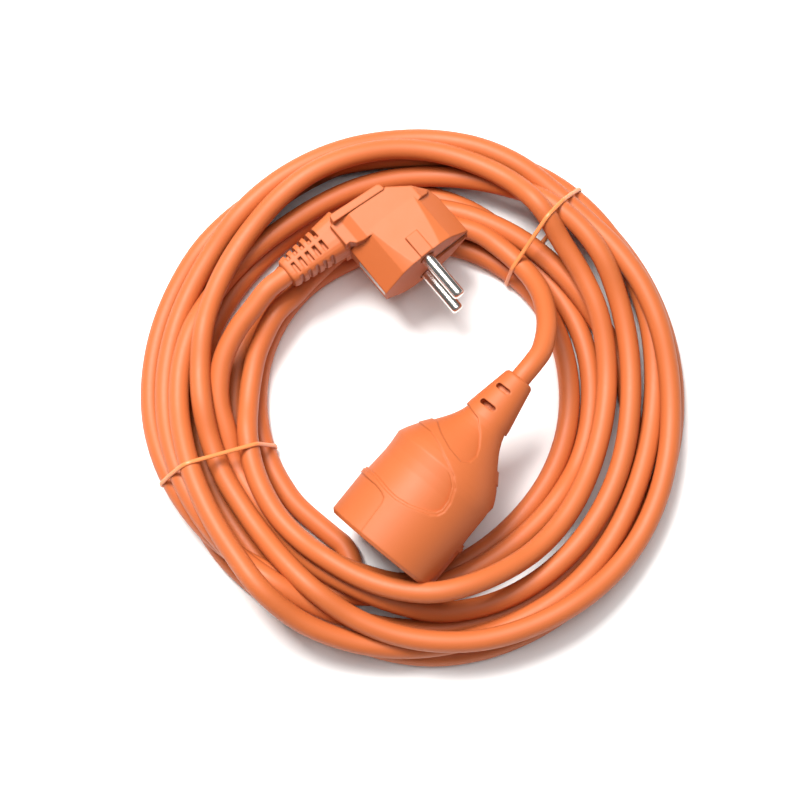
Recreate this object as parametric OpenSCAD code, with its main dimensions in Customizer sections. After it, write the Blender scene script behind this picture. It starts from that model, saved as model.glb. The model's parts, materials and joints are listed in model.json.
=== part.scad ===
// Extension cord: an angled earthed plug, a coiled three-core cord held by two ties,
// and a straight moulded earthed socket with a turning safety shutter.
// Millimetres, +Z up. Everything lies on the floor at z = 0. The origin is under the
// middle of the plug and the socket taken together.

/* [Cord] */
// Outer diameter of the cord's jacket
cord_d = 7.8; // [7:0.1:8.6]
// Outer diameter of one insulated core
core_d = 2.6; // [2.2:0.1:2.8]
// Inside radius of the coil
coil_in_r = 58; // [50:1:62]
// Outside radius of the coil
coil_out_r = 101; // [96:1:120]
// Height of the wound coil
coil_h = 24; // [20:1:30]

/* [Ties] */
// Width of a tie along the cord
tie_w = 1.6; // [1:0.1:3]
// Thickness of a tie
tie_t = 1.2; // [0.8:0.1:2]

/* [Plug] */
// Width of the plug's face, from one earth clip to the other
plug_face_w = 38.4; // [36:0.2:40]
// Thickness of the plug, along the line of the pins
plug_thick = 30; // [28:0.5:32]
// Depth of the plug from its face to its back
plug_depth = 34; // [31:0.5:40]
// Length of the strain relief
relief_l = 22.5; // [16:0.5:30]
// Width of the strain relief at its free end
relief_end_w = 11.2; // [10.4:0.2:14]
// Diameter of a pin
pin_d = 4.8; // [4.8:0.1:5]
// Length of a pin in front of the face
pin_l = 19; // [18.5:0.1:19.5]
// Distance between the two pins
pin_pitch = 19; // [18:0.1:20]
// Distance from the line of the pins to the earth hole
earth_pitch = 10; // [9.6:0.1:10.6]

/* [Socket] */
// Outer diameter of the socket at its mouth
socket_d = 46; // [45:0.5:52]
// Length of the socket from its mouth to the cord
socket_l = 79.5; // [76:0.5:95]
// Diameter of the socket's neck where the cord leaves it
neck_d = 11.6; // [10.6:0.2:14]
// Diameter of the round recess that takes a plug
recess_d = 39.2; // [38.8:0.2:40]
// Depth of the recess
recess_depth = 17.5; // [17:0.1:18.5]
// Diameter of a pin hole in the floor of the recess
pin_hole_d = 5.4; // [5.2:0.1:5.8]
// Turn of the shutter from closed to open, in degrees
shutter_turn = 38; // [36:1:42]

/* [Fits] */
// Gap round an inner piece in its moulding
inner_gap = 0.15; // [0.1:0.05:0.3]
// Gap round a pin in its carrier
press_gap = 0.03; // [0.01:0.01:0.05]
// Radial running clearance of the shutter on its boss
running_gap = 0.05; // [0.02:0.01:0.1]
// Gap between the coil's solid and the socket that lies in it
coil_gap = 1; // [0.6:0.2:3]

/* [Hidden] */
$fn = 64;
eps = 0.01;

orange = [0.93, 0.47, 0.25];
nickel = [0.80, 0.79, 0.77];
brass = [0.78, 0.64, 0.36];
grey = [0.42, 0.43, 0.44];
brown = [0.36, 0.20, 0.12];
blue = [0.13, 0.32, 0.66];
green_yellow = [0.55, 0.72, 0.16];

// Plug, in its own frame: +X away from the cord, -Y along the pins, Z along the line of the pins
half_face = plug_face_w / 2;
half_thick = plug_thick / 2;
tip_half = 3.6;
flank_x = 11;
lens_r = (pow(half_face, 2) + pow(half_thick - tip_half, 2)) / (2 * (half_thick - tip_half));
lens_flat = 0.8;
pad_w = 5.2;
pad_l = 9.4;
engage_l = 21;
engage_taper = 1.6;
handle_half = 12.4;
handle_round = 1.2;
rib_t = 2.4;
rib_half = 12.9;
shoulder_half = 10.4;
shoulder_x = 12;
relief_x = -20;
relief_end_x = relief_x - relief_l;
relief_y = plug_depth - 4.4;
relief_half_t = cord_d / 2 + 1.4;
relief_root_half_t = relief_half_t + 2.2;
relief_root_w = 17;
relief_sides = 24;
notch_depth = 1.3;
slot_n = 5;
slot_w = 1.4;
slot_l = 4.4;
slot_pitch = 3.25;
slot_floor = cord_d / 2 + 0.2;
pin_tip_flat = 0.9;
pin_tip_r = pin_d / 2 - pin_tip_flat;
pin_root_r = pin_d / 2 - 0.5;
pin_root = 12;
crimp_r = pin_root_r - 0.4;
crimp_l = 4;
pin_well = 0.6;
bridge_from = 2;
bridge_l = 9.8;
bridge_arm_half = 6;
bridge_arm_z = pin_pitch / 2 + pin_d / 2 + 0.6;
strip_t = 0.8;
strip_w = 5;
strip_y = 1;
clip_l = 15;
clip_inset = 0.3;
face_slot_from = 3;
sleeve_t = 0.7;
sleeve_l = 15;
earth_r = pin_d / 2 + 0.05;
core_room = 0.9;
core_spread = (core_d + core_room) / sqrt(3);
core_end_gap = 0.6;
core_side = core_spread * sqrt(3) / 2;

// Socket, in its own frame: Z from the mouth to the cord, Y along the line of the pin holes, -X up
recess_r = recess_d / 2;
mouth_round = 1.2;
floor_t = 3;
insert_wall = 2.1;
insert_r = recess_r - 2.6;
cap_t = 2;
insert_back = recess_depth + pin_l + 1;
bracket_t = 0.8;
bracket_w = 5;
bracket_gap = 0.25;
bracket_half = insert_r + inner_gap + bracket_gap + bracket_t;
bracket_from = 4;
bracket_back = insert_back + cap_t + bracket_gap + bracket_t;
cavity_l = bracket_back + 0.7;
shutter_t = 2;
shutter_z = recess_depth + floor_t + 0.4;
shutter_r = insert_r - insert_wall - 1.4;
shutter_hole_r = pin_hole_d / 2 + 0.2;
boss_r = 2;
stop_r = 0.9;
stop_at = 6;
stop_gap = 0.1;
post_at = 5.4;
spring_wire_r = 0.3;
spring_r = 3;
spring_leg = 4;
post_r = 0.7;
post_from = 122;
contact_wall = 0.7;
contact_z = shutter_z + shutter_t + 1.8;
contact_back = insert_back - 0.3;
contact_r = pin_d / 2 + 0.05;
contact_tail = 2.6;
shoulder_from = 33;
shoulder_to = socket_l - 17;
neck_root_r = 9;
neck_slots = [[socket_l - 15, 3.4], [socket_l - 7, 3.1]];
neck_slot_w = 2;
guide_depth = 0.45;
dish_depth = 0.9;
neck_dish_depth = 0.7;

// Where the pieces lie
coil_place = [3.8, 2.4, 0];
plug_place = [8.5, 46.1, 27];
plug_yaw = 39;
socket_yaw = 50;
socket_pitch = 9;
socket_roll = 15;
socket_place = [-8.7, -59.3, socket_d / 2 * cos(socket_pitch) - mouth_round * sin(socket_pitch)];
tie_angles = [51.3, 200.8];

// Cord: the route of each stretch that isn't coiled, from the plug or the socket into the coil,
// measured from the coil's middle
tail_sides = 12;
tail_steps = 2;
core_sides = 12;
core_steps = 3;
tail_start = 2.5;
tail_plug_route = [[-53.6, 34.5, 27], [-58.6, 28.5, 25], [-65.6, 19.5, 22], [-70.6, 8.5, 19],
    [-71.6, -4.5, 16], [-68.6, -16.5, 13], [-65.6, -27.5, 10]];
tail_socket_route = [[42.9, 4.5, 35], [46.4, 10.5, 33], [48.4, 21.5, 28], [46.9, 34.5, 21],
    [41.4, 45.5, 15], [32.9, 54.5, 13], [22.4, 61.5, 13]];

// ---- Shared shapes ----

// A slot with round ends, cut downwards from the origin: w wide, l long along Y, d deep
module pill(l, w, d) {
    translate([0, 0, -d]) {
        translate([-w / 2, -(l - w) / 2, 0]) cube([w, l - w, d + eps]);
        for (s = [-1, 1]) translate([0, s * (l - w) / 2, 0]) cylinder(d = w, h = d + eps);
    }
}

// Smooth curve through a list of points, n steps to each gap
function curve(p, n) = concat(
    [for (i = [0 : len(p) - 2], k = [0 : n - 1])
        let (a = p[max(i - 1, 0)], b = p[i], c = p[i + 1], d = p[min(i + 2, len(p) - 1)], t = k / n)
        0.5 * (2 * b + (c - a) * t + (2 * a - 5 * b + 4 * c - d) * t * t
            + (3 * b - a - 3 * c + d) * t * t * t)],
    [p[len(p) - 1]]);

function unit(v) = v / norm(v);

// A closed solid through rings of n points each, from the first ring to the last
module skin(rings) {
    n = len(rings[0]);
    last = len(rings) - 1;
    polyhedron(
        [for (ring = rings) for (q = ring) q],
        concat(
            [[for (k = [n - 1 : -1 : 0]) k]],
            [for (i = [0 : last - 1], k = [0 : n - 1])
                [i * n + k, i * n + (k + 1) % n, (i + 1) * n + (k + 1) % n, (i + 1) * n + k]],
            [[for (k = [0 : n - 1]) last * n + k]]));
}

// A closed tube of n sides swept along a list of points that never runs along ref
module tube(p, d, n, ref = [0, 0, 1]) {
    last = len(p) - 1;
    skin([for (i = [0 : last])
        let (along = unit(p[min(i + 1, last)] - p[max(i - 1, 0)]),
            side = unit(cross(along, ref)), up = cross(side, along))
        [for (k = [0 : n - 1]) p[i] + d / 2 * (cos(360 * k / n) * side + sin(360 * k / n) * up)]]);
}

// One insulated core along its route
module core(route, ref, gap = 0) tube(curve(route, core_steps), core_d + 2 * gap, core_sides, ref);

module on_plug() translate(plug_place) rotate([0, 0, plug_yaw]) children();

module on_socket()
    translate(socket_place)
        rotate([0, 90 - socket_pitch, socket_yaw])
            rotate([0, 0, -socket_roll])
                children();

function plug_point(p) = plug_place + [
    p.x * cos(plug_yaw) - p.y * sin(plug_yaw),
    p.x * sin(plug_yaw) + p.y * cos(plug_yaw),
    p.z];

function socket_point(z) = socket_place + z * [
    cos(socket_pitch) * cos(socket_yaw),
    cos(socket_pitch) * sin(socket_yaw),
    sin(socket_pitch)];

// ---- Plug ----

// A cylinder along +Y from y = from, in the plug's frame
module along_y(r, from, l) translate([0, from, 0]) rotate([-90, 0, 0]) cylinder(r = r, h = l);

// The part that goes into a socket: a lens with flat flanks seen on the face, thinner at the back
module engage_shape() {
    flank_z = half_thick - lens_r + sqrt(pow(lens_r, 2) - pow(flank_x, 2));
    above_z = half_thick + 1;
    above_x = flank_x - (above_z - flank_z) * (half_face - flank_x) / (flank_z - tip_half);
    side_z = tip_half - 0.1;
    flat_z = half_thick - lens_flat;
    intersection() {
        rotate([90, 0, 0]) translate([0, 0, -engage_l]) linear_extrude(engage_l)
            intersection() {
                translate([0, half_thick - lens_r]) circle(r = lens_r, $fn = 96);
                translate([0, lens_r - half_thick]) circle(r = lens_r, $fn = 96);
                polygon([[half_face, side_z], [above_x, above_z], [-above_x, above_z],
                    [-half_face, side_z], [-half_face, -side_z], [-above_x, -above_z],
                    [above_x, -above_z], [half_face, -side_z]]);
            }
        translate([0, 0, -half_thick]) linear_extrude(plug_thick)
            polygon([[-half_face, 0], [half_face, 0], [half_face - clip_inset, clip_l + strip_y + 1],
                [half_face - engage_taper, engage_l], [-half_face + clip_inset, engage_l]]);
        rotate([90, 0, 90]) translate([0, 0, -half_face]) linear_extrude(plug_face_w)
            polygon([[-1, flat_z + 0.1], [engage_l + 1, handle_half - 0.1],
                [engage_l + 1, -handle_half + 0.1], [-1, -flat_z - 0.1]]);
    }
}

// Outline of the grip: a curved front step, a slanted back and rounded corners
handle_y = 18.2;
handle_back = plug_depth - rib_t;
handle_outline = [[relief_x, relief_y - relief_root_w / 2 + 1], [-half_face + 1, handle_y + 3.9],
    [-16.7, handle_y + 2.1], [-13.7, handle_y + 0.8], [-9.4, handle_y + 0.4], [-4.9, handle_y + 0.2],
    [-0.7, handle_y - 0.4], [3.6, handle_y - 0.9], [7.5, handle_y - 0.4], [11.5, handle_y + 0.2],
    [15.7, handle_y + 1], [half_face - 2, handle_y + 2.4], [4.6, handle_back - 1.8],
    [relief_x, handle_back]];

// The grip behind the part that goes into a socket
module handle_shape() {
    soft = [for (p = handle_outline) [p.x, min(p.y, handle_back - handle_round)]];
    intersection() {
        union() {
            translate([0, 0, -handle_half + handle_round])
                linear_extrude(2 * (handle_half - handle_round)) polygon(handle_outline);
            translate([0, 0, -handle_half]) linear_extrude(2 * handle_half) polygon(soft);
        }
        // Its top and underside fall away towards the cord and towards the far side
        rotate([90, 0, 0]) translate([0, 0, -plug_depth]) linear_extrude(plug_depth)
            polygon([[relief_x - 1, shoulder_half - 0.8], [-shoulder_x - 4, shoulder_half],
                [-shoulder_x, handle_half + 0.2], [shoulder_x, handle_half + 0.2],
                [half_face, tip_half + 1.5], [half_face, -tip_half - 1.5],
                [shoulder_x, -handle_half - 0.2], [-shoulder_x, -handle_half - 0.2],
                [-shoulder_x - 4, -shoulder_half], [relief_x - 1, -shoulder_half + 0.8]]);
    }
    // Thumb rib along the back
    translate([0, 0, -rib_half]) linear_extrude(2 * rib_half)
        polygon([[relief_x + 1.2, handle_back - 0.6], [relief_x + 1.6, plug_depth - 0.4],
            [relief_x + 2.2, plug_depth], [2.4, plug_depth - 1.6], [3.4, plug_depth - 2.3],
            [3.8, handle_back - 1.9], [3.2, handle_back - 2.2]]);
}

// One cross-section of the strain relief: a rectangle with well rounded corners
function relief_ring(x, w, t) = [for (k = [0 : relief_sides - 1])
    let (a = 360 * (k + 0.5) / relief_sides)
    [x, relief_y - w * sign(cos(a)) * pow(abs(cos(a)), 0.6), t * sign(sin(a)) * pow(abs(sin(a)), 0.6)]];

module relief_shape()
    skin([relief_ring(relief_end_x, relief_end_w / 2 - 1.2, relief_half_t - 1.2),
        relief_ring(relief_end_x + 0.5, relief_end_w / 2 - 0.3, relief_half_t - 0.3),
        relief_ring(relief_end_x + 1.6, relief_end_w / 2, relief_half_t),
        relief_ring(relief_x + 4, relief_root_w / 2, relief_root_half_t)]);

// Slots across the strain relief above and below, and notches along its two edges
module relief_slots() {
    for (i = [0 : slot_n - 1]) {
        x = 3.6 + i * slot_pitch;
        edge = relief_end_w / 2 + (relief_root_w - relief_end_w) / 2 * x / (relief_l + 4);
        translate([relief_end_x + x, relief_y, 0]) {
            translate([0, slot_floor + half_thick, 0])
                cube([slot_w, plug_thick, 2 * plug_thick], center = true);
            translate([0, notch_depth - edge - half_thick, 0])
                cube([slot_w, plug_thick, 2 * plug_thick], center = true);
            for (s = [-1, 1]) {
                translate([0, -slot_l / 2 + 0.8, s * (slot_floor + half_thick)])
                    cube([slot_w, slot_l, plug_thick], center = true);
                translate([0, half_thick + 2.4, s * (slot_floor + half_thick)])
                    cube([slot_w, plug_thick, plug_thick], center = true);
            }
        }
    }
}

// The bent strip's own shape, grown by a gap on all sides
module strip_shape(gap) {
    far = half_face - clip_inset;
    z = strip_w / 2 + gap;
    translate([-far, strip_y - gap, -z]) cube([2 * far, strip_t + 2 * gap, 2 * z]);
    for (s = [-1, 1]) translate([s * (far - strip_t / 2), strip_y + clip_l / 2, 0])
        cube([strip_t + 2 * gap, clip_l + 2 * gap, 2 * z], center = true);
}

// Room for the strip in the plug: its shape with a gap, and the grooves open to the outside
module strip_space() {
    z = strip_w / 2 + inner_gap;
    strip_shape(inner_gap);
    for (s = [-1, 1]) translate([s * half_face, strip_y + clip_l / 2, 0])
        cube([2 * (clip_inset + strip_t / 2), clip_l + 2 * inner_gap, 2 * z], center = true);
}

module bridge_shape(gap) {
    translate([-bridge_arm_half - gap, bridge_from - gap, -bridge_arm_z - gap])
        cube([2 * (bridge_arm_half + gap), bridge_l + 2 * gap, 2 * (bridge_arm_z + gap)]);
    translate([-bridge_arm_half - gap, bridge_from - gap, -strip_w - gap])
        cube([bridge_arm_half + earth_pitch + 4.4 + 2 * gap, bridge_l + 2 * gap, 2 * (strip_w + gap)]);
}

// The three cores, from the cord to the roots of the pins and to the earth strip's sleeve
pin_back = pin_root + crimp_l;
sleeve_back = strip_y + strip_t + sleeve_l;
cord_side_x = relief_end_x + core_end_gap;
plug_cores = [
    [[cord_side_x, relief_y + core_spread / 2, core_side],
        [cord_side_x + 3, relief_y + core_spread / 2, core_side],
        [relief_x - 2, relief_y, core_side + 0.6], [-8, pin_back + 8, pin_pitch / 2 - 2],
        [-1.2, pin_back + 3.6, pin_pitch / 2 - 0.2], [0, pin_back + core_end_gap + 1.2, pin_pitch / 2],
        [0, pin_back + core_end_gap, pin_pitch / 2]],
    [[cord_side_x, relief_y + core_spread / 2, -core_side],
        [cord_side_x + 3, relief_y + core_spread / 2, -core_side],
        [relief_x - 2, relief_y, -core_side - 0.6], [-8, pin_back + 8, -pin_pitch / 2 + 2],
        [-1.2, pin_back + 3.6, -pin_pitch / 2 + 0.2], [0, pin_back + core_end_gap + 1.2, -pin_pitch / 2],
        [0, pin_back + core_end_gap, -pin_pitch / 2]],
    [[cord_side_x, relief_y - core_spread, 0], [cord_side_x + 3, relief_y - core_spread, 0],
        [relief_x - 2, relief_y - core_spread - 0.6, 0], [0, sleeve_back + 7.5, 0],
        [earth_pitch - 2.4, sleeve_back + 5, 0], [earth_pitch, sleeve_back + 2.4, 0],
        [earth_pitch, sleeve_back + core_end_gap, 0]]];

module plug_body() color(orange) on_plug() difference() {
    union() {
        engage_shape();
        handle_shape();
        relief_shape();
        // A raised pad beside each pin
        translate([-pad_w / 2, 0, -half_thick]) cube([pad_w, pad_l, plug_thick]);
    }
    relief_slots();
    bridge_shape(inner_gap);
    strip_space();
    // Slot in the face that shows the earth strip
    translate([face_slot_from, -eps, -strip_w / 2 - inner_gap])
        cube([half_face - face_slot_from - clip_inset, strip_y + strip_t, strip_w + 2 * inner_gap]);
    for (s = [-1, 1]) translate([0, 0, s * pin_pitch / 2]) {
        along_y(pin_d / 2 + pin_well, -eps, bridge_from + 1);
        along_y(crimp_r + inner_gap, bridge_from, pin_back - bridge_from + inner_gap);
    }
    translate([earth_pitch, 0, 0])
        along_y(earth_r + sleeve_t + inner_gap, strip_y, strip_t + sleeve_l + inner_gap);
    for (p = plug_cores) core(p, [0, 0, 1], inner_gap);
}

// Carrier that holds the pins and the earth sleeve in line
module plug_bridge() color(grey) on_plug() difference() {
    bridge_shape(0);
    for (s = [-1, 1]) translate([0, 0, s * pin_pitch / 2])
        along_y(pin_root_r + press_gap, bridge_from - 1, bridge_l + 2);
    translate([earth_pitch, 0, 0]) along_y(earth_r + sleeve_t + press_gap, bridge_from - 1, bridge_l + 2);
}

// A solid pin: rounded tip, root in the carrier and a crimp end behind it
module plug_pin(side) color(nickel) on_plug() translate([0, 0, side * pin_pitch / 2]) {
    rotate([90, 0, 0]) rotate_extrude() {
        translate([0, -pin_back]) square([crimp_r, crimp_l + eps]);
        translate([0, -pin_root]) square([pin_root_r, pin_root + eps]);
        square([pin_d / 2, pin_l - pin_tip_r]);
        square([pin_tip_flat, pin_l]);
        translate([pin_tip_flat, pin_l - pin_tip_r]) intersection() {
            circle(r = pin_tip_r);
            square(pin_tip_r);
        }
    }
}

module plug_pin_line() plug_pin(1);

module plug_pin_neutral() plug_pin(-1);

// Bent strip: a bar between the pins with a side clip at each end, and the earth hole
module plug_earth_strip() color(nickel) on_plug() difference() {
    strip_shape(0);
    translate([earth_pitch, 0, 0]) along_y(earth_r, strip_y - 1, strip_t + 2);
}

// Sleeve behind the earth hole, which grips a fixed earth pin
module plug_earth_sleeve() color(brass) on_plug() translate([earth_pitch, 0, 0]) difference() {
    along_y(earth_r + sleeve_t, strip_y + strip_t, sleeve_l);
    along_y(earth_r, strip_y + strip_t - 1, sleeve_l);
}

module plug_core_brown() color(brown) on_plug() core(plug_cores[0], [0, 0, 1]);

module plug_core_blue() color(blue) on_plug() core(plug_cores[1], [0, 0, 1]);

module plug_core_earth() color(green_yellow) on_plug() core(plug_cores[2], [0, 0, 1]);

// ---- Socket ----

function ease(t) = t * t * (3 - 2 * t);

// Outer outline, radius against length: straight mouth, smooth shoulder, tapering neck
socket_outline = concat(
    [[0, 0], [socket_d / 2 - mouth_round, 0], [socket_d / 2, mouth_round],
        [socket_d / 2 + 0.2, shoulder_from * 0.75]],
    [for (i = [0 : 12]) let (t = i / 12)
        [socket_d / 2 + 0.2 - (socket_d / 2 + 0.2 - neck_root_r) * ease(t),
            shoulder_from + t * (shoulder_to - shoulder_from)]],
    [[neck_d / 2, socket_l - 0.8], [neck_d / 2 - 0.8, socket_l], [0, socket_l]]);

// The three cores, from the cord to the contacts' tails and to the earth bracket
tail_end = insert_back + contact_tail + 1;
cord_side_z = socket_l - core_end_gap;
socket_cores = [
    [[core_spread / 2, core_side, cord_side_z], [core_spread / 2, core_side, cord_side_z - 3],
        [core_spread / 2, core_side + 0.1, socket_l - 15], [core_spread / 2, core_side + 1, socket_l - 20],
        [0, pin_pitch / 2 - 1, tail_end + 5.5], [0, pin_pitch / 2, tail_end + core_end_gap]],
    [[core_spread / 2, -core_side, cord_side_z], [core_spread / 2, -core_side, cord_side_z - 3],
        [core_spread / 2, -core_side - 0.1, socket_l - 15],
        [core_spread / 2, -core_side - 1, socket_l - 20],
        [0, -pin_pitch / 2 + 1, tail_end + 5.5], [0, -pin_pitch / 2, tail_end + core_end_gap]],
    [[-core_spread, 0, cord_side_z], [-core_spread, 0, cord_side_z - 3],
        [-core_spread, eps, socket_l - 20], [0, 0, bracket_back + core_end_gap]]];

// Room for the two legs of the earth bracket: inner is the gap towards the middle
module leg_space(gap, inner) {
    in_x = bracket_half - bracket_t - inner;
    out_x = bracket_half + gap;
    for (s = [-1, 1])
        translate([s * (in_x + out_x) / 2, 0, (bracket_from + bracket_back) / 2])
            cube([out_x - in_x, bracket_w + 2 * gap, bracket_back - bracket_from + 2 * gap], center = true);
}

// The socket's outside seen from above, lowered by a depth inside an outline: [length, height across]
module sunk(outline, profile)
    for (turn = [0, 180]) rotate([0, 0, turn]) difference() {
        rotate([0, -90, 0]) linear_extrude(socket_d) polygon(outline);
        rotate_extrude($fn = 96) polygon(profile);
    }

function lowered(depth) = [for (p = socket_outline) [max(p.x - depth, 0), p.y]];

// Guide at the mouth, the long thumb dish and the small dish at the neck
side_far = socket_d * 0.6;
guide_outline = [[-1, 0.6], [13.5, 1.3], [15.6, 2], [16.6, 4.4], [17.2, 8], [17.4, side_far],
    [-1, side_far]];
dish_outline = [[19.4, side_far], [19, 10.3], [17.9, 3], [17.6, -1.5], [18.4, -6.9], [19.8, -10.6],
    [21, -13.8], [22.6, -15.6], [25, -16.4], [29, -16.2], [34, -14.6], [37, -11.6], [39, -7.8],
    [42.4, 0], [44.2, 6.5], [44.4, side_far]];
dish_rim = [[20.4, side_far], [20, 10], [18.9, 3], [18.6, -1], [19.3, -6.2], [20.6, -9.8],
    [21.8, -12.6], [23.2, -14.4], [25.2, -15.2], [29, -15], [33.4, -13.4], [36, -10.8], [38, -7.4],
    [41.2, 0], [43, 6.5], [43.2, side_far]];
neck_dish_outline = [[48.7, side_far], [48.4, 9], [45.8, 3], [43.4, -4], [42.4, -9.6], [44, -11.2],
    [47.5, -10.8], [50.5, -9], [54.5, -5.7], [58.6, -0.9], [60.3, 6.6], [60.3, side_far]];

// Surface of the long dish: deepest behind its front edge, and rising towards the neck
dish_profile = [[0, 0], [socket_d / 2 - dish_depth, 0], [socket_d / 2 - dish_depth, 18],
    [socket_d / 2 - dish_depth - 0.7, 29], [socket_d / 2 - dish_depth - 0.6, 33],
    [socket_d / 2 - 1, 38.5], [socket_d / 2 - 2.4, 44], [socket_d / 2 - 6, 50], [0, 50]];

module socket_body() color(orange) on_socket() difference() {
    rotate_extrude($fn = 96) polygon(socket_outline);
    translate([0, 0, -1]) cylinder(r = recess_r, h = recess_depth + floor_t + inner_gap + 1);
    cylinder(r = insert_r + inner_gap, h = cavity_l);
    leg_space(inner_gap, bracket_gap + inner_gap + 0.5);
    for (s = [-1, 1]) translate([0, s * pin_pitch / 2, insert_back])
        cylinder(r = core_d / 2 + inner_gap, h = contact_tail + 2);
    for (p = socket_cores) core(p, [1, 0, 0], inner_gap);
    sunk(guide_outline, lowered(guide_depth));
    sunk(dish_outline, lowered(dish_depth / 2));
    sunk(dish_rim, dish_profile);
    sunk(neck_dish_outline, lowered(neck_dish_depth));
    // Slots that let the neck bend
    for (q = neck_slots, turn = [0, 180]) rotate([0, 0, turn])
        translate([-slot_floor + 0.3, 0, q[0]]) rotate([0, -90, 0]) translate([0, 0, neck_root_r])
            pill(2 * q[1], neck_slot_w, neck_root_r);
}

// Inner carrier: the floor of the recess with its two pin holes, and the chamber behind it
module socket_insert() color(grey) on_socket() {
    difference() {
        union() {
            translate([0, 0, recess_depth]) cylinder(r = recess_r - inner_gap, h = floor_t);
            translate([0, 0, recess_depth]) cylinder(r = insert_r, h = insert_back - recess_depth);
        }
        translate([0, 0, recess_depth + floor_t])
            cylinder(r = insert_r - insert_wall, h = insert_back);
        for (s = [-1, 1]) translate([0, s * pin_pitch / 2, 0]) cylinder(d = pin_hole_d, h = insert_back);
        leg_space(bracket_gap, bracket_gap);
    }
    translate([0, 0, recess_depth + floor_t - eps]) cylinder(r = boss_r, h = shutter_t + 3.4);
    translate([stop_at, 0, recess_depth + floor_t - eps]) cylinder(r = stop_r, h = shutter_t + 0.6);
}

// Cap that closes the chamber behind the contacts
module socket_back_cap() color(grey) on_socket() difference() {
    translate([0, 0, insert_back]) cylinder(r = insert_r, h = cap_t);
    for (s = [-1, 1]) translate([0, s * pin_pitch / 2, insert_back - 1])
        cylinder(r = core_d / 2 + press_gap, h = cap_t + 2);
}

// Round contact that grips a pin, with a tail for its core
module socket_contact(side) color(brass) on_socket() translate([0, side * pin_pitch / 2, 0]) {
    difference() {
        translate([0, 0, contact_z]) cylinder(r = contact_r + contact_wall, h = contact_back - contact_z);
        translate([0, 0, contact_z - 1]) cylinder(r = contact_r, h = contact_back - contact_z);
    }
    translate([0, 0, contact_back - eps]) cylinder(r = core_d / 2, h = tail_end - contact_back + eps);
}

module socket_contact_line() socket_contact(1);

module socket_contact_neutral() socket_contact(-1);

// U-shaped earth bracket: a bar behind the cap and a springy leg on each side of the recess
module socket_earth_bracket() color(nickel) on_socket() {
    translate([-bracket_half, -bracket_w / 2, bracket_back - bracket_t])
        cube([2 * bracket_half, bracket_w, bracket_t]);
    for (s = [-1, 1])
        translate([s > 0 ? bracket_half - bracket_t : -bracket_half, -bracket_w / 2, bracket_from])
            cube([bracket_t, bracket_w, bracket_back - bracket_from]);
}

// Disc that covers the pin holes until it is turned; drawn closed
module socket_shutter() color(orange) on_socket() translate([0, 0, shutter_z]) difference() {
    union() {
        cylinder(r = shutter_r, h = shutter_t);
        rotate([0, 0, post_from]) translate([post_at, 0, 0]) cylinder(r = post_r, h = shutter_t + 1);
    }
    translate([0, 0, -1]) cylinder(r = boss_r + running_gap, h = shutter_t + 2);
    for (s = [-1, 1]) rotate([0, 0, -shutter_turn]) translate([0, s * pin_pitch / 2, -1])
        cylinder(r = shutter_hole_r, h = shutter_t + 4);
    // Curved slot for the stop
    translate([0, 0, -1]) {
        rotate([0, 0, -shutter_turn]) rotate_extrude(angle = shutter_turn)
            translate([stop_at - stop_r - stop_gap, 0]) square([2 * (stop_r + stop_gap), shutter_t + 2]);
        for (a = [0, -shutter_turn]) rotate([0, 0, a]) translate([stop_at, 0, 0])
            cylinder(r = stop_r + stop_gap, h = shutter_t + 2);
    }
}

// Small torsion spring round the boss, which turns the shutter back
module socket_shutter_spring() color(nickel) on_socket() translate([0, 0, shutter_z + shutter_t + 0.1]) {
    for (i = [0, 1]) translate([0, 0, spring_wire_r * (1 + 1.6 * i)])
        rotate_extrude() translate([spring_r, 0]) circle(r = spring_wire_r, $fn = 24);
    translate([-spring_r - spring_leg, 0, spring_wire_r]) rotate([0, 90, 0])
        cylinder(r = spring_wire_r * 0.8, h = spring_leg);
}

module socket_core_brown() color(brown) on_socket() core(socket_cores[0], [1, 0, 0]);

module socket_core_blue() color(blue) on_socket() core(socket_cores[1], [1, 0, 0]);

module socket_core_earth() color(green_yellow) on_socket() core(socket_cores[2], [1, 0, 0]);

// ---- Cord and ties ----

ledge_r = coil_in_r + 0.4 * (coil_out_r - coil_in_r);
ledge_h = 10;
coil_room = 5;

// Outline of the wound cord, cut across: low on the inside, where the plug lies on it
coil_section = [[coil_in_r + 2, 0], [coil_out_r - 2, 0], [coil_out_r, 3], [coil_out_r, coil_h - 9],
    [coil_out_r - 7, coil_h], [ledge_r + 5, coil_h], [ledge_r, ledge_h], [coil_in_r + 2, ledge_h],
    [coil_in_r, ledge_h - 2], [coil_in_r, 3]];

module cord_coil() color(orange) difference() {
    translate(coil_place) rotate_extrude($fn = 120) polygon(coil_section);
    on_socket() translate([0, 0, -coil_room]) cylinder(r = socket_d / 2 + coil_gap, h = socket_l / 2);
}

// One end of the cord: square at its start, straight for a little, then along its route
module cord_tail(start, on, route)
    tube(concat([start], curve(concat([on], [for (p = route) coil_place + p]), tail_steps)),
        cord_d, tail_sides);

module cord_tail_plug() color(orange)
    cord_tail(plug_point([relief_end_x, relief_y, 0]), plug_point([relief_end_x - tail_start, relief_y, 0]),
        tail_plug_route);

module cord_tail_socket() color(orange)
    cord_tail(socket_point(socket_l), socket_point(socket_l + tail_start), tail_socket_route);

// A tie drawn tight round the coil at one angle
module tie(angle) color(orange) translate(coil_place) rotate([90, 0, angle])
    translate([0, 0, -tie_w / 2]) linear_extrude(tie_w) difference() {
        tie_outline(tie_t);
        tie_outline(0);
    }

module tie_outline(grow) polygon([
    [coil_in_r - grow, tie_t - grow], [coil_out_r + grow, tie_t - grow],
    [coil_out_r + grow, coil_h - 9 + grow / 2], [coil_out_r - 7 + grow / 2, coil_h + grow],
    [ledge_r + 5 - grow / 2, coil_h + grow], [coil_in_r - grow, ledge_h + grow / 2]]);

module tie_right() tie(tie_angles[0]);

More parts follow.
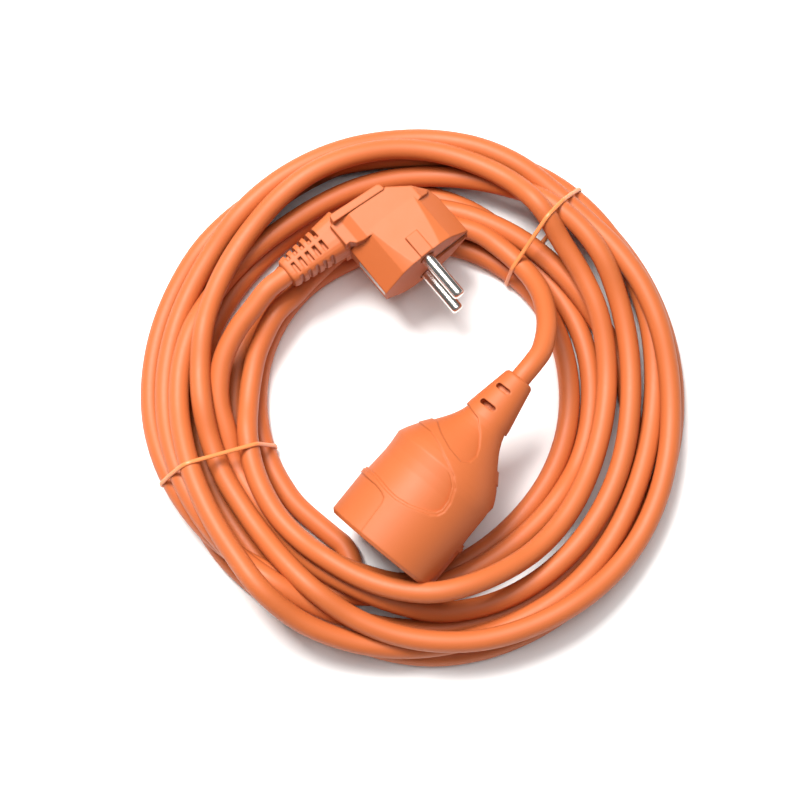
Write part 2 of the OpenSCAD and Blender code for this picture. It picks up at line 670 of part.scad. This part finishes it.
module tie_left() tie(tie_angles[1]);

plug_body();
plug_bridge();
plug_pin_line();
plug_pin_neutral();
plug_earth_strip();
plug_earth_sleeve();
plug_core_brown();
plug_core_blue();
plug_core_earth();
socket_body();
socket_insert();
socket_back_cap();
socket_contact_line();
socket_contact_neutral();
socket_earth_bracket();
socket_shutter();
socket_shutter_spring();
socket_core_brown();
socket_core_blue();
socket_core_earth();
cord_coil();
cord_tail_plug();
cord_tail_socket();
tie_right();
tie_left();
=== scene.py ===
"""Orange extension cord: winds the cord, ties the coil and finishes every piece of plug and socket."""

import json
import math

import bpy
from bpy.props import FloatProperty, FloatVectorProperty, PointerProperty
from mathutils import Matrix, Vector


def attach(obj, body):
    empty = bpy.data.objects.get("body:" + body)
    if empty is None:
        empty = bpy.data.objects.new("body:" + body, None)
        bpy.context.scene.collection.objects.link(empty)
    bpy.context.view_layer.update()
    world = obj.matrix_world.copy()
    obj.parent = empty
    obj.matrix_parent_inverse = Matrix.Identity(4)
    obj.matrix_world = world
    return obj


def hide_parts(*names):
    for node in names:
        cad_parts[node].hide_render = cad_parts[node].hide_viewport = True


bl_info = {
    "name": "Extension Cord",
    "version": (1, 0, 0),
    "blender": (4, 5, 0),
    "location": "View3D > Sidebar > Extension Cord",
    "description": "A coiled three-core extension cord with its plug, socket and ties",
    "category": "Object",
}

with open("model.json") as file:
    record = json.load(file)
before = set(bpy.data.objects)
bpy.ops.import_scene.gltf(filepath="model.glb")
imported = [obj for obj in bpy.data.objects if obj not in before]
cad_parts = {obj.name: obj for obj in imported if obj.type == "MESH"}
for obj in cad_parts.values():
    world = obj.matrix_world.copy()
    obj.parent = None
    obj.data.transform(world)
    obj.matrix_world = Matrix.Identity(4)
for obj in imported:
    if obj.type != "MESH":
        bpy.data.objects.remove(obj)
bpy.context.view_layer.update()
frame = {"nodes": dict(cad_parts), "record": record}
MM = 0.001
BODY = "cord"

# ---- The cord's route: millimetres in the model's frame, and turns about the coil's middle ----

COIL_MIDDLE = Vector((3.8, 2.4, 0))
PLUG_END = Vector((-43.16, 42.36, 27))
PLUG_OUT = Vector((-0.777, -0.629, 0))
SOCKET_END = Vector((41.77, 0.85, 34.97))
SOCKET_OUT = Vector((0.635, 0.757, 0.156))
# From each end down into the coil, measured from the coil's middle
PLUG_TAIL = [
    (-53.6, 34.5, 27), (-58.6, 28.5, 25), (-65.6, 19.5, 22), (-70.6, 8.5, 19), (-71.6, -4.5, 16),
    (-68.6, -16.5, 13), (-65.6, -27.5, 10)]
SOCKET_TAIL = [
    (42.9, 4.5, 35), (46.4, 10.5, 33), (48.4, 21.5, 28), (46.9, 34.5, 21), (41.4, 45.5, 15),
    (32.9, 54.5, 13), (22.4, 61.5, 13), (5.9, 64.8, 12.4), (-11.6, 64.5, 10.8), (-26.1, 55.5, 11.2),
    (-37.6, 44.5, 12), (-44.6, 36, 14), (-51.6, 27.5, 16.5)]
# Lanes in the coil: (degrees turned from the plug or the socket, radius)
PLUG_LANES = [
    (203, 71), (225, 71.5), (242, 75), (260, 79), (275, 83), (297, 84), (336, 81), (357, 80),
    (377, 82), (395, 85), (409, 86), (449, 84), (485, 80), (510, 83), (531, 86), (562, 87), (582, 90),
    (601, 96), (625, 96), (645, 94), (668, 93), (697, 89), (717, 89), (745, 93), (769, 96), (785, 96),
    (810, 92), (840, 94), (870, 98), (901, 98), (921, 95), (945, 89), (975, 79), (1020, 68),
    (1070, 66), (1100, 67), (1125, 68), (1170, 79), (1215, 78), (1260, 81), (1301, 83), (1321, 89),
    (1340, 95), (1360, 98), (1395, 97), (1440, 97), (1485, 97), (1530, 97), (1575, 92), (1620, 90),
    (1655, 91.5), (1680, 93)]
SOCKET_LANES = [
    (152, 58.5), (163, 59.5), (183, 61), (203, 65), (223, 69), (242, 72), (260, 76), (275, 78.6),
    (297, 76), (335, 71), (356, 71), (387, 75), (408, 78), (424, 85), (449, 91), (470, 90), (491, 86),
    (520, 81), (543, 78), (563, 77), (578, 77), (592, 80), (611, 87), (629, 93), (648, 97), (681, 99),
    (716, 95), (745, 93), (769, 91), (789, 95), (809, 97), (845, 94), (870, 92), (901, 92), (930, 91),
    (960, 89), (999, 88), (1018, 88), (1038, 86), (1080, 80), (1110, 73), (1140, 71), (1170, 72),
    (1215, 68), (1260, 67), (1305, 69), (1350, 71), (1368, 65), (1395, 60), (1440, 58), (1485, 60),
    (1530, 60), (1555, 58), (1575, 58.5), (1620, 58.5), (1655, 59.5), (1680, 61)]
FOLD = 1680
FOLD_STEPS = 8
TURN_STEP = 10
# Where each half comes down from its tail into the lanes, and the room left before the fold
PLUG_LANE_START = 215
SOCKET_LANE_START = 165
FOLD_ROOM = 8
# The turn that lies over the socket's corner, its height there, and how the cord falls away from it
PROP_TURN = 275
PROP_HEIGHT = 30
PROP_REACH = 25
PROP_FALL = 60
# How far the cord reaches into a neck, and how far it runs straight out of it
IN_NECK = 0.3
STRAIGHT_OUT = 2.5
# When the two tails were laid, on the scale of laid_order
PLUG_TAIL_ORDER = 500
SOCKET_TAIL_ORDER = FOLD
PLUG_TAIL_ENDS = 240
PLUG, SOCKET = 0, 1
# Stretches laid later, or sooner, than their turn alone says: first turn, last turn, shift
SHIFTED = {
    PLUG: ((915, 990, -60), (1090, 1180, -60)),
    SOCKET: ((SOCKET_LANE_START, 690, 60), (700, 860, 110))}
# Points that the smooth line has between two beads
FINE_STEPS = 5
# Share of a diameter at which strands above each other touch, as soft jackets give a little
NESTED = 0.98
# Places along a strand that are too near to each other to lie on each other, in beads
NEIGHBOURS = 4
# Length of cord in which the cores inside it turn once, in metres
CORE_LAY = 0.05
# The jacket's section has 4 + 2 * JACKET_ROUNDNESS sides
JACKET_ROUNDNESS = 5
# Points nearer than this are one point, in metres
SAME_POINT = 0.001 * MM

# ---- Ties: degrees about the coil's middle, and millimetres ----

TIE_PLACES = (("tie_right", 51.3), ("tie_left", 200.8))
TIE_STEP = 1.5
TIE_SIDES = 12
# Between the jacket and the middle of a tie
TIE_STANDS_OFF = 0.35
RIM_POINTS = 32

# ---- Studio: metres ----

LIGHTS = (
    ("key_light", (-0.4, 0.5, 1.3), 0.6, 37, (1.0, 0.985, 0.96)),
    ("fill_light", (0.9, -0.6, 1.0), 1.4, 1.5, (0.96, 0.98, 1.0)),
    ("top_light", (0.0, 0.1, 1.6), 1.0, 14, (1.0, 1.0, 1.0)))
# In millimetres, on the floor
LOOK_AT = Vector((-1.4, 1.7, 0))
SENSOR_WIDTH = 36
NEAR_CLIP = 0.01
FLOOR_SIZE = 6
AIR_STRENGTH = 0.14

# ---- Finishes ----

PLASTIC_IOR = 1.42
SATIN = 0.55
JACKET_SATIN = 0.52
GLOSSY = 0.38
TIE_GLOSS = 0.34
EDGE_RADIUS = 0.0009
EDGE_SAMPLES = 6


def lane_radius(lanes, turned):
    """Radius at an angle, on a smooth curve through the lanes."""
    last = len(lanes) - 1
    i = max(k for k in range(last) if lanes[k][0] <= turned)
    before, a, b, after = lanes[max(i - 1, 0)], lanes[i], lanes[i + 1], lanes[min(i + 2, last)]
    gap = b[0] - a[0]
    t = (turned - a[0]) / gap
    leave = gap * (b[1] - before[1]) / (b[0] - before[0])
    arrive = gap * (after[1] - a[1]) / (after[0] - a[0])
    return ((2 * t**3 - 3 * t**2 + 1) * a[1] + (t**3 - 2 * t**2 + t) * leave
            + (3 * t**2 - 2 * t**3) * b[1] + (t**3 - t**2) * arrive)


def laid_order(half, turned):
    """How late this part was laid: the fold first, both ends last, with the crossings set right."""
    if half == PLUG and turned <= PLUG_TAIL_ENDS:
        return PLUG_TAIL_ORDER
    order = FOLD - turned
    for first, last, shift in SHIFTED[half]:
        if first <= turned <= last:
            order += shift
    return order


def around(turned, radius):
    a = math.radians(turned)
    return COIL_MIDDLE + Vector((radius * math.cos(a), radius * math.sin(a), 0))


class Bead:
    """A point on the cord's middle line. A fixed one keeps its height; others drop onto what is below."""

    def __init__(self, place, order, fixed=False, propped=0):
        self.place, self.order, self.fixed, self.propped = place, order, fixed, propped


def tail(end, out, points, order):
    """Beads from inside a neck, straight out of it and along the tail."""
    places = [end - out * IN_NECK, end + out * STRAIGHT_OUT] + [COIL_MIDDLE + Vector(p) for p in points]
    return [Bead(place, order, fixed=True) for place in places]


def turns(half, lanes, start):
    """Beads along one half's lanes, up to the fold."""
    made = []
    for turned in range(start, FOLD - FOLD_ROOM, TURN_STEP):
        propped = 0
        if half == SOCKET and abs(turned - PROP_TURN) < PROP_REACH:
            propped = PROP_HEIGHT - (turned - PROP_TURN)**2 / PROP_FALL
        place = around(turned, lane_radius(lanes, turned))
        made.append(Bead(place, laid_order(half, turned), propped=propped))
    return made


def fold():
    """The bend that joins the two halves."""
    middle = (PLUG_LANES[-1][1] + SOCKET_LANES[-1][1]) / 2
    bend = PLUG_LANES[-1][1] - middle
    made = []
    for k in range(FOLD_STEPS + 1):
        a = math.pi * k / FOLD_STEPS
        along = Vector((middle + bend * math.cos(a), abs(bend) * math.sin(a), 0))
        place = COIL_MIDDLE + Matrix.Rotation(math.radians(FOLD), 3, "Z") @ along
        made.append(Bead(place, 0))
    return made


def beads():
    """The whole cord, from the plug round the fold to the socket."""
    plug = tail(PLUG_END, PLUG_OUT, PLUG_TAIL, PLUG_TAIL_ORDER)
    plug += turns(PLUG, PLUG_LANES, PLUG_LANE_START)
    socket = tail(SOCKET_END, SOCKET_OUT, SOCKET_TAIL, SOCKET_TAIL_ORDER)
    socket += turns(SOCKET, SOCKET_LANES, SOCKET_LANE_START)
    return plug + fold() + socket[::-1]


def flat_distance(p, a, b):
    """Distance seen from above from p to the run a-b, and the height of that run where it is nearest."""
    dx, dy = b.x - a.x, b.y - a.y
    t = max(0, min(1, ((p.x - a.x) * dx + (p.y - a.y) * dy) / (dx * dx + dy * dy)))
    return math.hypot(p.x - a.x - t * dx, p.y - a.y - t * dy), a.z + t * (b.z - a.z)


def lay_cord(diameter, rounds=90, sag=1.0, side_by_side=0.96):
    """Drops every bead onto the floor or onto cord laid before it; a stretch in the air sags a little."""
    line = beads()
    for bead in line:
        if not bead.fixed:
            bead.place.z = diameter / 2
    under = []
    for i, bead in enumerate(line):
        found = []
        for j in range(len(line) - 1):
            if abs(i - j) < NEIGHBOURS or abs(i - j - 1) < NEIGHBOURS:
                continue
            earlier = max(line[j].order, line[j + 1].order) < bead.order
            away, _ = flat_distance(bead.place, line[j].place, line[j + 1].place)
            if earlier and away < diameter * side_by_side:
                found.append(j)
        under.append(found)
    order = sorted((i for i in range(len(line)) if not line[i].fixed), key=lambda i: line[i].order)
    for _ in range(rounds):
        for i in order:
            bead = line[i]
            low = max(diameter / 2, bead.propped)
            for j in under[i]:
                away, height = flat_distance(bead.place, line[j].place, line[j + 1].place)
                low = max(low, height + NESTED * math.sqrt(max(diameter**2 - away**2, 0)))
            bead.place.z = max(low, (line[i - 1].place.z + line[i + 1].place.z) / 2 - sag)
    return [bead.place for bead in line]


def smooth_line(points, steps):
    """A smooth curve through the points."""
    fine = []
    last = len(points) - 1
    for i in range(last):
        a, b, c, d = points[max(i - 1, 0)], points[i], points[i + 1], points[min(i + 2, last)]
        for k in range(steps):
            t = k / steps
            fine.append(0.5 * (2 * b + (c - a) * t + (2 * a - 5 * b + 4 * c - d) * t**2
                               + (3 * b - a - 3 * c + d) * t**3))
    return fine + [points[-1]]


# ---- Material maths ----


class Wire:
    """One socket of a material. Arithmetic on it adds Math nodes."""

    def __init__(self, paint, socket):
        self.paint, self.socket = paint, socket

    def _math(self, operation, *values):
        return self.paint.node("ShaderNodeMath", {"operation": operation}, dict(enumerate(values)))

    def __add__(self, other):
        return self._math("ADD", self, other)

    def __mul__(self, other):
        return self._math("MULTIPLY", self, other)

    def __gt__(self, other):
        return self._math("GREATER_THAN", self, other)

    def sine(self):
        return self._math("SINE", self)

    def fraction(self):
        return self._math("FRACT", self)

    __radd__, __rmul__ = __add__, __mul__


class Paint:
    """A node material being mixed."""

    def __init__(self, name):
        self.material = bpy.data.materials.new(name)
        self.material.use_nodes = True
        self.tree = self.material.node_tree
        self.tree.nodes.clear()
        self.surface = self.tree.nodes.new("ShaderNodeBsdfPrincipled")
        out = self.tree.nodes.new("ShaderNodeOutputMaterial")
        self.tree.links.new(self.surface.outputs[0], out.inputs[0])

    def _feed(self, socket, value):
        if isinstance(value, Wire):
            self.tree.links.new(value.socket, socket)
        else:
            socket.default_value = value

    def node(self, kind, settings=None, inputs=None, output=0):
        made = self.tree.nodes.new(kind)
        for key, value in (settings or {}).items():
            setattr(made, key, value)
        for key, value in (inputs or {}).items():
            self._feed(made.inputs[key], value)
        return Wire(self, made.outputs[output])

    def mix(self, factor, low, high):
        """A colour between two colours, which may be sockets or plain colours."""
        return self.node("ShaderNodeMix", {"data_type": "RGBA"}, {0: factor, 6: low, 7: high}, 2)

    def noise(self, vector, scale, detail=3.0, roughness=0.55):
        return self.node("ShaderNodeTexNoise", None,
                         {"Vector": vector, "Scale": scale, "Detail": detail, "Roughness": roughness})

    def bump(self, height, distance, strength=1.0, edge=0.0):
        """Surface relief; edge is the radius that sharp edges seem rounded to."""
        values = {"Strength": strength, "Distance": distance, "Height": height}
        if edge:
            values["Normal"] = self.node("ShaderNodeBevel", {"samples": EDGE_SAMPLES}, {"Radius": edge})
        return self.node("ShaderNodeBump", None, values)

    def set(self, **values):
        for key, value in values.items():
            self._feed(self.surface.inputs[key.replace("_", " ")], value)
        return self.material


def shade(colour, factor):
    return tuple(min(1.0, c * factor) for c in colour[:3]) + (1.0,)


def moulded_plastic(name, colour, grain=900.0, rough=SATIN):
    """Satin injection-moulded PVC: faint colour drift, fine spark-eroded grain and slow waves in the skin."""
    paint = Paint(name)
    place = paint.node("ShaderNodeTexCoord", None, None, 3)
    drift = paint.noise(place, 22.0, 2.0)
    fine = paint.noise(place, grain, 2.0)
    rubbed = paint.noise(place, 90.0, 4.0, 0.65)
    base = paint.mix(drift, shade(colour, 0.95), shade(colour, 1.04))
    bump = paint.bump(fine * 0.6 + rubbed * 0.4, 0.00006, 0.5, EDGE_RADIUS)
    return paint.set(Base_Color=base, Roughness=rough - 0.05 + 0.1 * rubbed, Normal=bump, IOR=PLASTIC_IOR)


def extruded_jacket(name, colour, lays):
    """Smooth PVC drawn lengthwise, with die lines along it and the cores' lay just felt under it."""
    paint = Paint(name)
    place = paint.node("ShaderNodeTexCoord", None, None, 3)
    along = paint.node("ShaderNodeTexCoord", None, None, 2)
    split = paint.node("ShaderNodeSeparateXYZ", None, {0: along})
    run, girth = split, Wire(paint, split.socket.node.outputs[1])
    lay = ((run * lays + girth * 3.0) * (2 * math.pi)).sine()
    drawn = paint.node("ShaderNodeCombineXYZ", None, {0: run * 60.0, 1: girth * 40.0})
    lines = paint.noise(drawn, 1.0, 2.0)
    drift = paint.noise(place, 30.0, 2.0)
    fine = paint.noise(place, 700.0, 2.0)
    base = paint.mix(drift, shade(colour, 0.95), shade(colour, 1.05))
    bump = paint.bump(lay * 0.35 + lines * 0.3 + fine * 0.2, 0.00005, 0.5)
    roughness = JACKET_SATIN - 0.05 + 0.1 * fine
    return paint.set(Base_Color=base, Roughness=roughness, Normal=bump, IOR=PLASTIC_IOR)


def plated_metal(name, colour, rough=0.2, streaks=(60.0, 60.0, 900.0)):
    """Nickel or brass: drawn streaks and a little tarnish."""
    paint = Paint(name)
    place = paint.node("ShaderNodeTexCoord", None, None, 3)
    drawn = paint.noise(paint.node("ShaderNodeMapping", None, {"Vector": place, "Scale": streaks}), 6.0, 3.0)
    dull = paint.noise(place, 160.0, 4.0, 0.6)
    base = paint.mix(dull, shade(colour, 0.9), shade(colour, 1.05))
    bump = paint.bump(drawn, 0.00002, 0.4)
    return paint.set(Base_Color=base, Metallic=1.0, Roughness=rough + 0.14 * dull, Normal=bump)


def striped_core(name, first, second):
    """Two-coloured core insulation, striped along its run."""
    paint = Paint(name)
    place = paint.node("ShaderNodeTexCoord", None, None, 3)
    parts = paint.node("ShaderNodeSeparateXYZ", None, {0: place})
    height = Wire(paint, parts.socket.node.outputs[2])
    band = (height * 500.0 + paint.noise(place, 40.0) * 0.4).fraction() > 0.5
    fine = paint.noise(place, 900.0, 2.0)
    base = paint.mix(band, first, second)
    return paint.set(Base_Color=base, Roughness=0.36 + 0.1 * fine, Normal=paint.bump(fine, 0.00004, 0.4))


# ---- Settings ----


def colour_property(name, description, default):
    return FloatVectorProperty(name=name, description=description, subtype="COLOR", size=3, min=0, max=1,
                               default=default)


class CordSizes(bpy.types.PropertyGroup):
    cord_diameter: FloatProperty(name="Cord diameter", description="Outer diameter of the jacket",
                                 default=7.8 * MM, min=5 * MM, max=9 * MM, unit="LENGTH")
    cord_length: FloatProperty(name="Cord length", description="Length between the plug and the socket",
                               default=4.62, min=4, max=5.2, unit="LENGTH")
    tie_width: FloatProperty(name="Tie width", description="Width of a tie along the cord", default=1.6 * MM,
                             min=1 * MM, max=3 * MM, unit="LENGTH")
    tie_thickness: FloatProperty(name="Tie thickness", description="Thickness of a tie", default=1.0 * MM,
                                 min=0.5 * MM, max=2 * MM, unit="LENGTH")


class CordColours(bpy.types.PropertyGroup):
    moulding: colour_property("Moulding", "Plug and socket bodies", (0.475, 0.113, 0.029))
    jacket: colour_property("Jacket", "The cord's jacket", (0.485, 0.116, 0.030))
    tie: colour_property("Tie", "The two ties", (0.74, 0.23, 0.075))
    nickel: colour_property("Nickel", "Pins", (0.78, 0.74, 0.70))
    strip: colour_property("Earth strip", "Earth strip and bracket", (0.55, 0.54, 0.52))
    brass: colour_property("Brass", "Contacts and sleeve", (0.76, 0.55, 0.25))
    carrier: colour_property("Carrier", "Inner carriers", (0.06, 0.06, 0.065))


class StudioSettings(bpy.types.PropertyGroup):
    tilt: FloatProperty(name="Camera tilt", description="From straight down", default=math.radians(14),
                        subtype="ANGLE")
    distance: FloatProperty(name="Camera distance", description="From the floor under the coil",
                            default=0.85, unit="LENGTH")
    lens: FloatProperty(name="Lens", description="Focal length in millimetres on a 36 mm sensor",
                        default=102.1, min=20, max=300)


def sizes():
    return bpy.context.scene.cord_sizes


def colours():
    return bpy.context.scene.cord_colours


def deselect():
    for thing in bpy.context.selected_objects:
        thing.select_set(False)


def only(thing):
    deselect()
    thing.select_set(True)
    bpy.context.view_layer.objects.active = thing
    return thing


# ---- Operators ----


class EXTCORD_OT_camera(bpy.types.Operator):
    """Set the camera above the coil"""

    bl_idname = "extcord.camera"
    bl_label = "Camera"

    def execute(self, context):
        studio = context.scene.cord_studio
        target = LOOK_AT * MM
        back = Vector((0, -math.sin(studio.tilt), math.cos(studio.tilt)))
        bpy.ops.object.camera_add(location=target + back * studio.distance, rotation=(studio.tilt, 0, 0))
        camera = context.object
        camera.name = "studio_camera"
        camera.data.lens = studio.lens
        camera.data.sensor_width = SENSOR_WIDTH
        camera.data.clip_start = NEAR_CLIP
        context.scene.camera = camera
        return {"FINISHED"}


class EXTCORD_OT_wind_cord(bpy.types.Operator):
    """Wind the cord from the plug into the coil, round the fold and back to the socket"""

    bl_idname = "extcord.wind_cord"
    bl_label = "Wind cord"

    def execute(self, context):
        diameter = sizes().cord_diameter
        line = [p * MM for p in smooth_line(lay_cord(diameter / MM), FINE_STEPS)]
        data = bpy.data.curves.new("cord", "CURVE")
        data.dimensions = "3D"
        data.bevel_depth = diameter / 2
        data.bevel_resolution = JACKET_ROUNDNESS
        data.use_fill_caps = True
        spline = data.splines.new("POLY")
        spline.points.add(len(line) - 1)
        for point, place in zip(spline.points, line):
            point.co = (*place, 1)
        cord = bpy.data.objects.new("cord", data)
        context.collection.objects.link(cord)
        only(cord)
        bpy.ops.object.convert(target="MESH")
        bpy.ops.object.mode_set(mode="EDIT")
        bpy.ops.mesh.select_all(action="SELECT")
        bpy.ops.mesh.remove_doubles(threshold=SAME_POINT)
        bpy.ops.object.mode_set(mode="OBJECT")
        bpy.ops.object.shade_smooth()
        cord = context.object
        cord.data.materials.clear()
        lays = sizes().cord_length / CORE_LAY
        cord.data.materials.append(extruded_jacket("jacket", colours().jacket, lays))
        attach(cord, BODY)
        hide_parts("cord_coil", "cord_tail_plug", "cord_tail_socket")
        return {"FINISHED"}


class EXTCORD_OT_ties(bpy.types.Operator):
    """Draw the two ties tight round the coil"""

    bl_idname = "extcord.ties"
    bl_label = "Ties"

    def execute(self, context):
        diameter = sizes().cord_diameter / MM
        line = [p - COIL_MIDDLE for p in smooth_line(lay_cord(diameter), FINE_STEPS)]
        reach = diameter / 2 + TIE_STANDS_OFF
        for name, angle in TIE_PLACES:
            out = Vector((math.cos(math.radians(angle)), math.sin(math.radians(angle)), 0))
            side = Vector((-out.y, out.x, 0))
            rim = []
            for a, b in zip(line, line[1:]):
                if a.dot(side) * b.dot(side) <= 0 and a.dot(out) > 0:
                    crossing = a.lerp(b, a.dot(side) / (a.dot(side) - b.dot(side)))
                    for k in range(RIM_POINTS):
                        turn = math.tau * k / RIM_POINTS
                        height = max(crossing.z + reach * math.sin(turn), TIE_STANDS_OFF)
                        rim.append((round(crossing.dot(out) + reach * math.cos(turn), 3), round(height, 3)))
            points = [COIL_MIDDLE + out * r + Vector((0, 0, z)) for r, z in hull_2d(rim)]
            tie = strap(name, points, side, sizes().tie_width / MM, sizes().tie_thickness / MM)
            context.collection.objects.link(tie)
            tie.data.materials.append(moulded_plastic(name, colours().tie, rough=TIE_GLOSS))
            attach(tie, BODY)
            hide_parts(name)
        return {"FINISHED"}


def hull_2d(points):
    """The outline that a tight loop takes round a set of points, anticlockwise."""
    points = sorted(set(points))

    def half(run):
        chain = []
        for p in run:
            while len(chain) > 1 and ((chain[-1][0] - chain[-2][0]) * (p[1] - chain[-2][1])
                                      - (chain[-1][1] - chain[-2][1]) * (p[0] - chain[-2][0])) <= 0:
                chain.pop()
            chain.append(p)
        return chain[:-1]

    return half(points) + half(points[::-1])


def strap(name, points, side, width, thickness):
    """A closed band with rounded edges along a loop of points; side is across the band."""
    fine = []
    for a, b in zip(points, points[1:] + points[:1]):
        steps = max(1, round((b - a).length / TIE_STEP))
        fine += [a.lerp(b, k / steps) for k in range(steps)]
    section = [(width / 2 * math.copysign(abs(math.cos(t)) ** 0.6, math.cos(t)),
                thickness / 2 * math.copysign(abs(math.sin(t)) ** 0.8, math.sin(t)))
               for t in (math.tau * k / TIE_SIDES for k in range(TIE_SIDES))]
    count = len(fine)
    verts = []
    for i, p in enumerate(fine):
        run = (fine[(i + 1) % count] - fine[i - 1]).normalized()
        outward = run.cross(side)
        verts += [(p + side * s + outward * t) * MM for s, t in section]
    n = TIE_SIDES
    faces = [(i * n + k, i * n + (k + 1) % n, (i + 1) % count * n + (k + 1) % n, (i + 1) % count * n + k)
             for i in range(count) for k in range(n)]
    mesh = bpy.data.meshes.new(name)
    mesh.from_pydata(verts, [], faces)
    mesh.shade_smooth()
    return bpy.data.objects.new(name + "_strap", mesh)


class EXTCORD_OT_finishes(bpy.types.Operator):
    """Give every piece of the plug and the socket its finish"""

    bl_idname = "extcord.finishes"
    bl_label = "Finishes"

    def execute(self, context):
        tone = colours()
        finish = {
            "orange_moulding": moulded_plastic("orange_moulding", tone.moulding),
            "cord_jacket": moulded_plastic("cord_jacket", tone.jacket),
            "tie_plastic": moulded_plastic("tie_plastic", tone.tie, rough=TIE_GLOSS),
            "shutter_orange": moulded_plastic("shutter_orange", shade(tone.moulding, 0.85), rough=GLOSSY),
            "carrier_grey": moulded_plastic("carrier_grey", tone.carrier, 1400.0, 0.5),
            "nickel_plate": plated_metal("nickel_plate", tone.nickel, 0.16),
            "nickel_strip": plated_metal("nickel_strip", tone.strip, 0.3, (900.0, 60.0, 60.0)),
            "contact_brass": plated_metal("contact_brass", tone.brass, 0.24),
            "spring_steel": plated_metal("spring_steel", (0.5, 0.5, 0.52), 0.25),
            "core_brown": moulded_plastic("core_brown", (0.10, 0.035, 0.015), 1200.0, GLOSSY),
            "core_blue": moulded_plastic("core_blue", (0.015, 0.085, 0.38), 1200.0, GLOSSY),
            "core_green_yellow": striped_core("core_green_yellow", (0.06, 0.30, 0.03, 1),
                                              (0.80, 0.60, 0.03, 1)),
        }
        for part in frame["record"]["subparts"]:
            node = frame["nodes"][part["node"]]
            if not node.material_slots:
                node.data.materials.append(None)
            for slot in node.material_slots:
                slot.material = finish[part["material_slot"]]
        return {"FINISHED"}


class EXTCORD_OT_stage(bpy.types.Operator):
    """Lay the pale floor and set the soft studio lights"""

    bl_idname = "extcord.stage"
    bl_label = "Studio"

    def execute(self, context):
        deselect()
        bpy.ops.mesh.primitive_plane_add(size=FLOOR_SIZE)
        floor = context.object
        floor.name = "floor"
        paint = Paint("floor_paper")
        place = paint.node("ShaderNodeTexCoord", None, None, 3)
        tooth = paint.noise(place, 400.0, 2.0)
        floor.data.materials.append(paint.set(Base_Color=(0.9, 0.9, 0.9, 1), Roughness=0.8 + 0.1 * tooth))
        for name, place, size, power, colour in LIGHTS:
            bpy.ops.object.light_add(type="AREA", location=place)
            light = context.object
            light.name = name
            light.data.size = size
            light.data.energy = power
            light.data.color = colour
            light.rotation_euler = (-Vector(place)).to_track_quat("-Z", "Y").to_euler()
        world = bpy.data.worlds.new("studio_air")
        world.use_nodes = True
        background = world.node_tree.nodes["Background"]
        background.inputs["Color"].default_value = (1, 1, 1, 1)
        background.inputs["Strength"].default_value = AIR_STRENGTH
        context.scene.world = world
        context.scene.view_settings.view_transform = "Standard"
        return {"FINISHED"}


class EXTCORD_PT_panel(bpy.types.Panel):
    """Sizes, colours and the steps that make the cord"""

    bl_idname = "EXTCORD_PT_panel"
    bl_label = "Extension Cord"
    bl_space_type = "VIEW_3D"
    bl_region_type = "UI"
    bl_category = "Extension Cord"

    def draw(self, context):
        for group in (sizes(), colours(), context.scene.cord_studio):
            box = self.layout.box()
            for key in group.__annotations__:
                box.prop(group, key)
        for step in STEPS:
            self.layout.operator(step.bl_idname)


STEPS = (EXTCORD_OT_camera, EXTCORD_OT_wind_cord, EXTCORD_OT_ties, EXTCORD_OT_finishes, EXTCORD_OT_stage)
GROUPS = {"cord_sizes": CordSizes, "cord_colours": CordColours, "cord_studio": StudioSettings}
CLASSES = (*GROUPS.values(), *STEPS, EXTCORD_PT_panel)


def register():
    for cls in CLASSES:
        bpy.utils.register_class(cls)
    for name, cls in GROUPS.items():
        setattr(bpy.types.Scene, name, PointerProperty(type=cls))


def unregister():
    for name in GROUPS:
        delattr(bpy.types.Scene, name)
    for cls in reversed(CLASSES):
        bpy.utils.unregister_class(cls)


def main():
    register()
    bpy.ops.extcord.camera()
    bpy.ops.extcord.wind_cord()
    bpy.ops.extcord.ties()
    bpy.ops.extcord.finishes()
    bpy.ops.extcord.stage()


if __name__ == "__main__":
    main()
